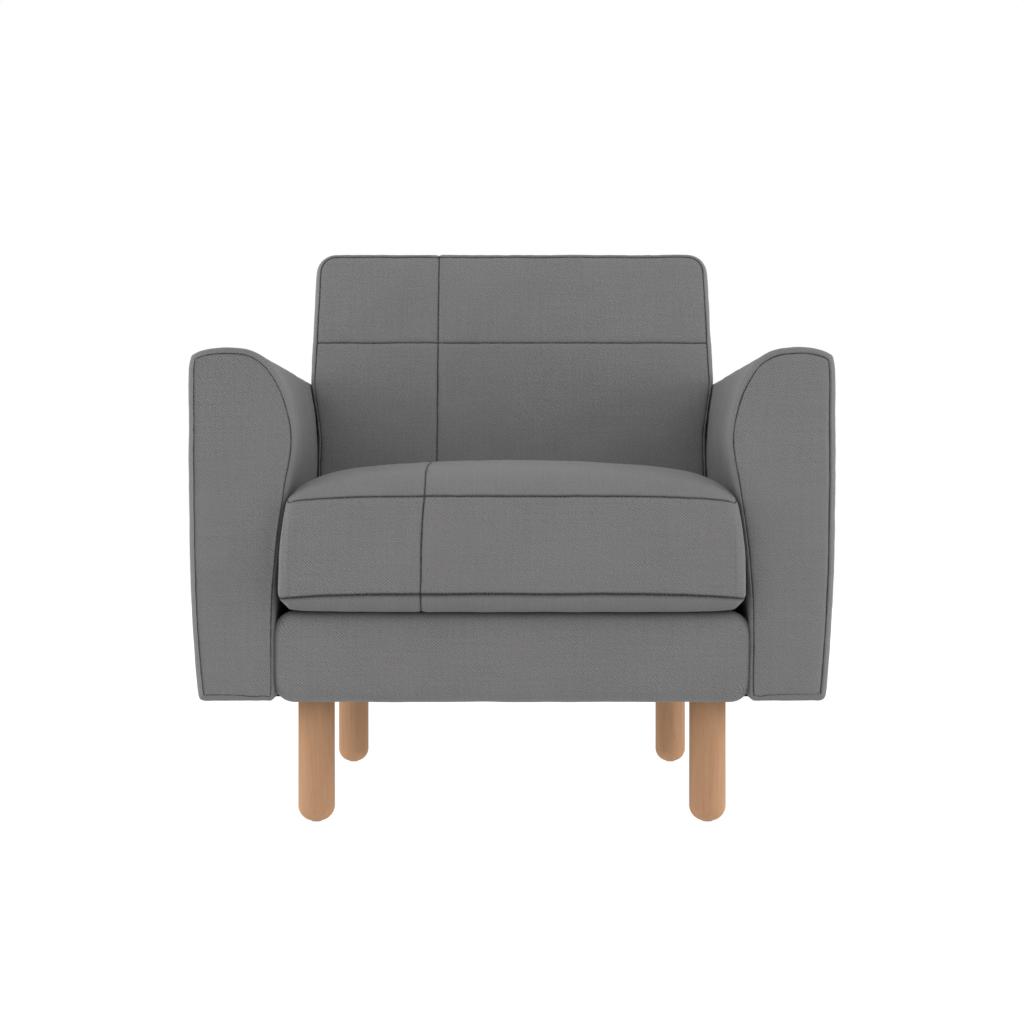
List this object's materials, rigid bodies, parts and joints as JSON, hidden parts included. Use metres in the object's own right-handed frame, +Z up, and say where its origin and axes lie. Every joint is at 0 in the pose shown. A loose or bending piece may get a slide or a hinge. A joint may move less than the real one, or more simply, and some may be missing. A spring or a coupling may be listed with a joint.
{
  "type": "upholstered armchair",
  "caption": "Low upholstered armchair with padded straight arms, a raked back, a loose box seat cushion and round tapered-end wooden legs.",
  "frame": {"origin": "on the floor, under the middle of the chair's outline seen from above", "axes": "+Z up; the front faces -Y; +X towards the right as seen from the front"},
  "size_m": [0.8396, 0.8051, 0.824],
  "materials": {
    "cover_cloth": "matte",
    "leg_beech": "satin",
    "frame_pine": "matte",
    "hardboard": "matte",
    "foam": "matte",
    "zinc_steel": "satin",
    "black_cambric": "matte",
    "elastic_web": "matte",
    "nylon": "satin",
    "zip_nylon": "satin"
  },
  "bodies": {
    "chair": {"back_cover": "cover_cloth", "back_lower_rail": "frame_pine", "back_outer_panel": "cover_cloth", "back_pad": "foam", "back_strap_1": "elastic_web", "back_strap_2": "elastic_web", "back_strap_3": "elastic_web", "back_strap_4": "elastic_web", "back_top_rail": "frame_pine", "dust_cover": "black_cambric", "front_border_cover": "cover_cloth", "front_border_pad": "foam", "front_left_corner_block": "frame_pine", "front_left_glide": "nylon", "front_left_leg": "leg_beech", "front_left_leg_bolt": "zinc_steel", "front_rail": "frame_pine", "front_right_corner_block": "frame_pine", "front_right_glide": "nylon", "front_right_leg": "leg_beech", "front_right_leg_bolt": "zinc_steel", "left_arm_bottom_rail": "frame_pine", "left_arm_cover": "cover_cloth", "left_arm_front_post": "frame_pine", "left_arm_inner_panel": "hardboard", "left_arm_outer_panel": "hardboard", "left_arm_pad": "foam", "left_arm_rear_post": "frame_pine", "left_arm_top_rail": "frame_pine", "left_back_post": "frame_pine", "left_side_rail": "frame_pine", "rear_left_corner_block": "frame_pine", "rear_left_glide": "nylon", "rear_left_leg": "leg_beech", "rear_left_leg_bolt": "zinc_steel", "rear_rail": "frame_pine", "rear_right_corner_block": "frame_pine", "rear_right_glide": "nylon", "rear_right_leg": "leg_beech", "rear_right_leg_bolt": "zinc_steel", "right_arm_bottom_rail": "frame_pine", "right_arm_cover": "cover_cloth", "right_arm_front_post": "frame_pine", "right_arm_inner_panel": "hardboard", "right_arm_outer_panel": "hardboard", "right_arm_pad": "foam", "right_arm_rear_post": "frame_pine", "right_arm_top_rail": "frame_pine", "right_back_post": "frame_pine", "right_side_rail": "frame_pine", "seat_deck": "black_cambric", "seat_spring_1": "zinc_steel", "seat_spring_2": "zinc_steel", "seat_spring_3": "zinc_steel", "seat_spring_4": "zinc_steel", "seat_spring_5": "zinc_steel"},
    "seat_cushion": {"seat_cushion_cover": "cover_cloth", "seat_cushion_core": "foam", "zip_tape": "zip_nylon"},
    "zip_slider": {"zip_slider": "zinc_steel"}
  },
  "joints": [
    {"name": "seat_cushion_pull", "type": "slide", "parent": "chair", "child": "seat_cushion", "axis": [0, -1, 0], "range_m": [0, 0.54]},
    {"name": "zip_slide", "type": "slide", "parent": "seat_cushion", "child": "zip_slider", "axis": [1, 0, 0], "range_m": [0, 0.435]}
  ]
}
